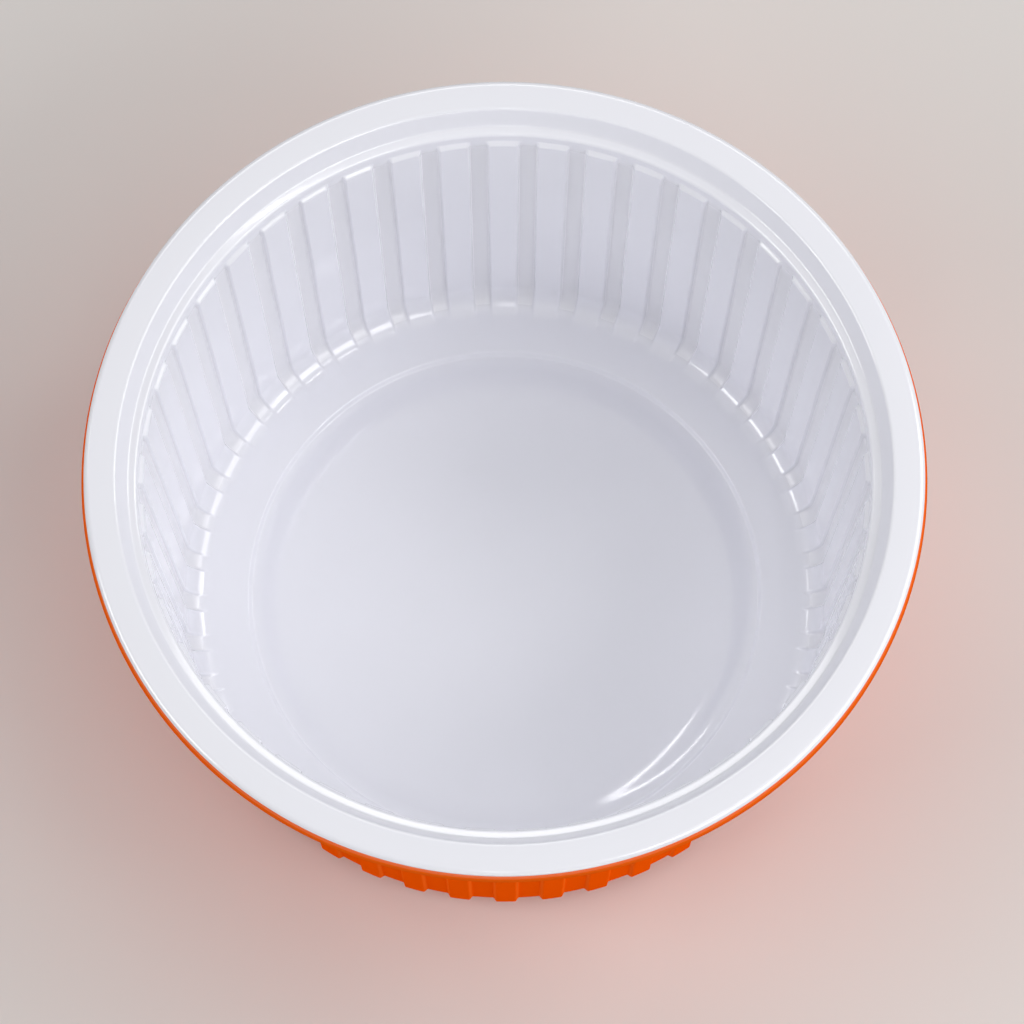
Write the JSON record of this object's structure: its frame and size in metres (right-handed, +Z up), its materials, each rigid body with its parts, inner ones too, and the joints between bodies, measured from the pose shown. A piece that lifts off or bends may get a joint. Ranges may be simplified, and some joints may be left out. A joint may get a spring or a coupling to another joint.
{
  "type": "disposable plastic bowl",
  "caption": "Disposable round plastic bowl with a fluted tapering wall, a flat turned-down rim, a ledge under the rim and a low foot ring; it holds hot or cold food.",
  "frame": {"origin": "on the table under the middle of the foot ring, which is the bottom centre of the bounding box", "axes": "+Z up along the axis of the bowl, out of its mouth; -Y towards the viewer of the picture, with the middle of a rib there"},
  "size_m": [0.16, 0.16, 0.077],
  "materials": {
    "bowl_inside": "gloss white, the inside and the top of the rim",
    "bowl_outside": "gloss orange, the whole outside and underside"
  },
  "bodies": {
    "root": {"bowl": "bowl_inside"}
  },
  "joints": []
}
